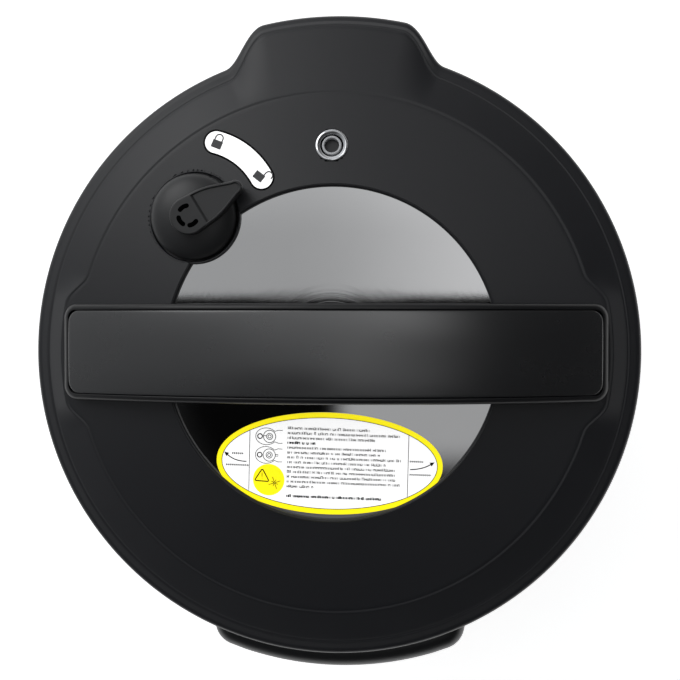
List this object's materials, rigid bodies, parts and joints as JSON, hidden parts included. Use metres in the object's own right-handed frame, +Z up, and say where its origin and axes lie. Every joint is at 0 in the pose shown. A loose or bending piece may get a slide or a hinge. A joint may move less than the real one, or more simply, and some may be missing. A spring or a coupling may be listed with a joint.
{
  "type": "electric pressure cooker",
  "caption": "Free-standing electric pressure cooker with a turn-and-lift steel lid under a black cover, a bridge handle, a steam release knob, a float valve and a front control panel.",
  "frame": {"origin": "on the surface the cooker stands on, under the middle of its bounding box, which is also the axis of the pot and the lid", "axes": "+Z up, -Y the front with the control panel, +Y the rear with the lid's tab and the power inlet, +X the right-hand side seen from the front"},
  "size_m": [0.309, 0.3332, 0.2954],
  "materials": {
    "cover_plastic": "fine-textured matte black",
    "handle_plastic": "satin black",
    "cap_plastic": "semi-gloss black",
    "knob_plastic": "satin black",
    "panel_plastic": "gloss black",
    "button_plastic": "grey",
    "lens": "tinted",
    "polished_steel": "mirror polished",
    "brushed_steel": "vertical brush",
    "pot_metal": "satin, coated inside",
    "shell_metal": "mill finish",
    "cast_metal": "cast",
    "silicone": "translucent silicone",
    "foot_rubber": "matte",
    "wire_insulation": "glass-braid sleeve",
    "ceramic": "matte",
    "circuit_board": "green laminate",
    "component_plastic": "moulded",
    "display": "display block",
    "screw_steel": "zinc plated",
    "label": "printed film"
  },
  "bodies": {
    "root": {"base_pan": "cover_plastic", "rubber_feet": "foot_rubber", "outer_shell": "brushed_steel", "front_fascia": "panel_plastic", "display_window": "lens", "display_module": "display", "control_board": "circuit_board", "key_switches": "component_plastic", "power_board": "circuit_board", "power_board_parts": "component_plastic", "upper_collar": "cover_plastic", "left_grip": "cover_plastic", "right_grip": "cover_plastic", "outer_pot": "shell_metal", "heat_shield": "shell_metal", "heating_plate": "cast_metal", "heating_element": "screw_steel", "plate_standoffs": "ceramic", "sensor_bracket": "screw_steel", "sensor_spring": "screw_steel", "thermal_fuse": "component_plastic", "pressure_switch": "component_plastic", "pot_pillars": "screw_steel", "base_screws": "screw_steel", "power_inlet": "component_plastic", "inlet_pins": "screw_steel", "mains_leads": "wire_insulation", "heater_leads": "wire_insulation", "control_lead": "wire_insulation", "rear_housing": "cover_plastic"},
    "condensation_cup": {"condensation_cup": "cover_plastic"},
    "temperature_sensor": {"temperature_sensor": "cast_metal"},
    "button_menu": {"button_menu": "button_plastic"},
    "button_timer": {"button_timer": "button_plastic"},
    "button_keep_warm": {"button_keep_warm": "button_plastic"},
    "button_minus": {"button_minus": "button_plastic"},
    "button_start": {"button_start": "button_plastic"},
    "button_plus": {"button_plus": "button_plastic"},
    "inner_pot": {"inner_pot": "pot_metal"},
    "sealing_ring": {"sealing_ring": "silicone"},
    "lid": {"steel_lid": "polished_steel", "lid_cover": "cover_plastic", "handle_shell": "handle_plastic", "handle_cap": "cap_plastic", "handle_screws": "screw_steel", "lid_screws": "screw_steel", "ring_rack": "screw_steel", "vent_pipe": "screw_steel", "vent_gasket": "silicone", "vent_nut": "screw_steel", "steam_filter": "screw_steel", "float_bush": "polished_steel", "slider_guides": "component_plastic", "info_sticker": "label", "scale_sticker": "label"},
    "valve_weight": {"valve_weight": "screw_steel"},
    "release_knob": {"release_knob": "knob_plastic"},
    "float_valve": {"float_pin": "screw_steel", "float_gasket": "silicone"},
    "lock_slider": {"lock_slider": "screw_steel"}
  },
  "joints": [
    {"name": "pot_lift", "type": "slide", "parent": "root", "child": "inner_pot", "axis": [0, 0, 1], "range_m": [0, 0.18]},
    {"name": "lid_lift", "type": "slide", "parent": "inner_pot", "child": "sealing_ring", "axis": [0, 0, 1], "range_m": [0, 0.15]},
    {"name": "lid_turn", "type": "hinge", "parent": "sealing_ring", "child": "lid", "pos_m": [0, 0, 0.22], "axis": [0, 0, 1], "range_deg": [-30, 0]},
    {"name": "knob_turn", "type": "hinge", "parent": "lid", "child": "release_knob", "pos_m": [-0.0672, 0.0662, 0.262], "axis": [0, 0, 1], "range_deg": [0, 44]},
    {"name": "valve_lift", "type": "slide", "parent": "lid", "child": "valve_weight", "axis": [0, 0, 1], "range_m": [-0.0016, 0]},
    {"name": "float_rise", "type": "slide", "parent": "lid", "child": "float_valve", "axis": [0, 0, 1], "range_m": [0, 0.003]},
    {"name": "lock_slide", "type": "slide", "parent": "lid", "child": "lock_slider", "axis": [1, 0, 0], "range_m": [-0.005, 0]},
    {"name": "sensor_press", "type": "slide", "parent": "root", "child": "temperature_sensor", "axis": [0, 0, 1], "range_m": [-0.002, 0], "stiffness_N_per_m": 500, "springref_m": 0.003, "deforming": ["sensor_spring"]},
    {"name": "cup_pull", "type": "slide", "parent": "root", "child": "condensation_cup", "axis": [0, 1, 0], "range_m": [0, 0.03]},
    {"name": "button_menu_press", "type": "slide", "parent": "root", "child": "button_menu", "axis": [0, 1, 0], "range_m": [0, 0.0006], "stiffness_N_per_m": 2500, "springref_m": -0.0002},
    {"name": "button_timer_press", "type": "slide", "parent": "root", "child": "button_timer", "axis": [0, 1, 0], "range_m": [0, 0.0006], "stiffness_N_per_m": 2500, "springref_m": -0.0002},
    {"name": "button_keep_warm_press", "type": "slide", "parent": "root", "child": "button_keep_warm", "axis": [0, 1, 0], "range_m": [0, 0.0006], "stiffness_N_per_m": 2500, "springref_m": -0.0002},
    {"name": "button_minus_press", "type": "slide", "parent": "root", "child": "button_minus", "axis": [0, 1, 0], "range_m": [0, 0.0006], "stiffness_N_per_m": 2500, "springref_m": -0.0002},
    {"name": "button_start_press", "type": "slide", "parent": "root", "child": "button_start", "axis": [0, 1, 0], "range_m": [0, 0.0006], "stiffness_N_per_m": 2500, "springref_m": -0.0002},
    {"name": "button_plus_press", "type": "slide", "parent": "root", "child": "button_plus", "axis": [0, 1, 0], "range_m": [0, 0.0006], "stiffness_N_per_m": 2500, "springref_m": -0.0002}
  ],
  "couplings": [
    {"joint": "valve_lift", "follows": "knob_turn", "m_per_rad": -0.0020835},
    {"joint": "lock_slide", "follows": "lid_turn", "m_per_rad": 0.0095493}
  ]
}
